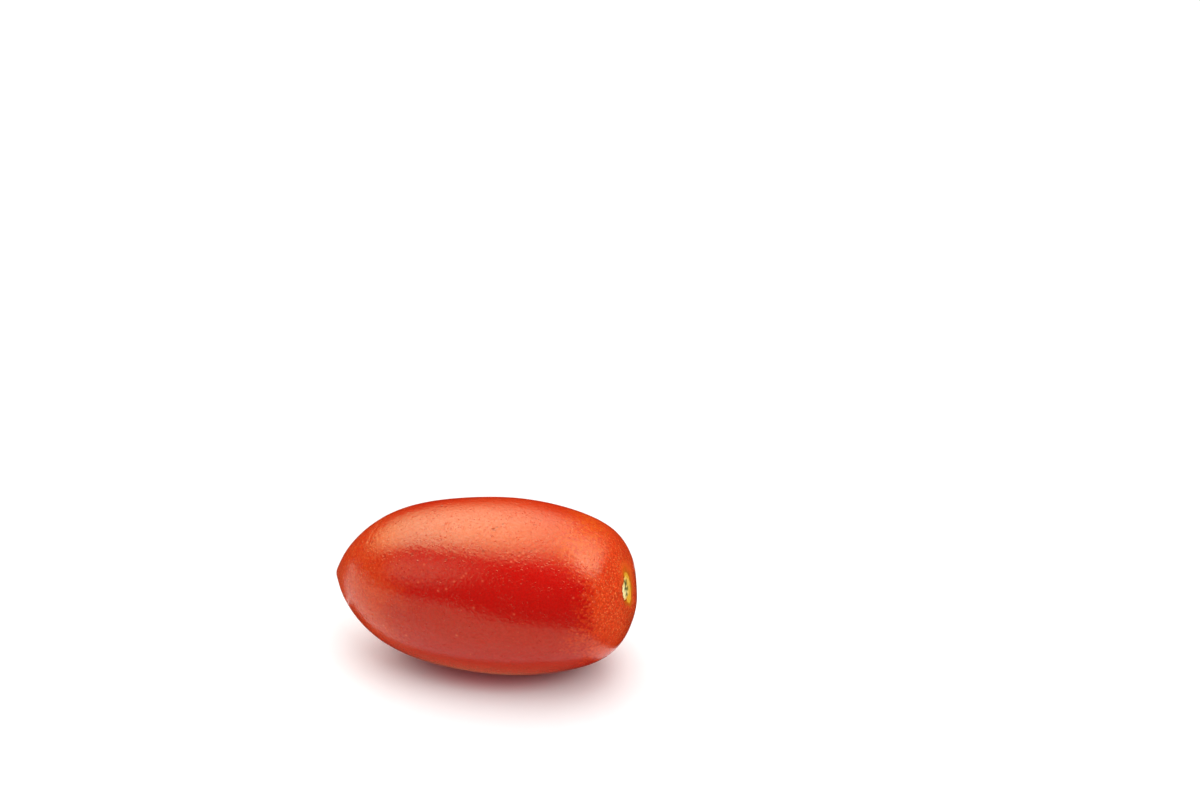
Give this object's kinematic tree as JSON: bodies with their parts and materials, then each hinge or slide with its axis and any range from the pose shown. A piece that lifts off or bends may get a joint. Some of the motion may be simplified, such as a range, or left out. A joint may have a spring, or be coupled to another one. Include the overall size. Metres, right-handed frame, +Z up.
{
  "type": "plum tomato",
  "caption": "Ripe red plum tomato lying on its side, with a corky stem scar in the dimple of its blunt end and a small point at its blossom end.",
  "frame": {"origin": "on the surface that the tomato lies on, under the middle of its bounding box", "axes": "+X along the fruit towards its stem end, -Y towards the picture's viewer, +Z up"},
  "size_m": [0.076, 0.043, 0.0431],
  "materials": {
    "skin": "gloss"
  },
  "bodies": {
    "root": {"tomato": "skin"}
  },
  "joints": []
}
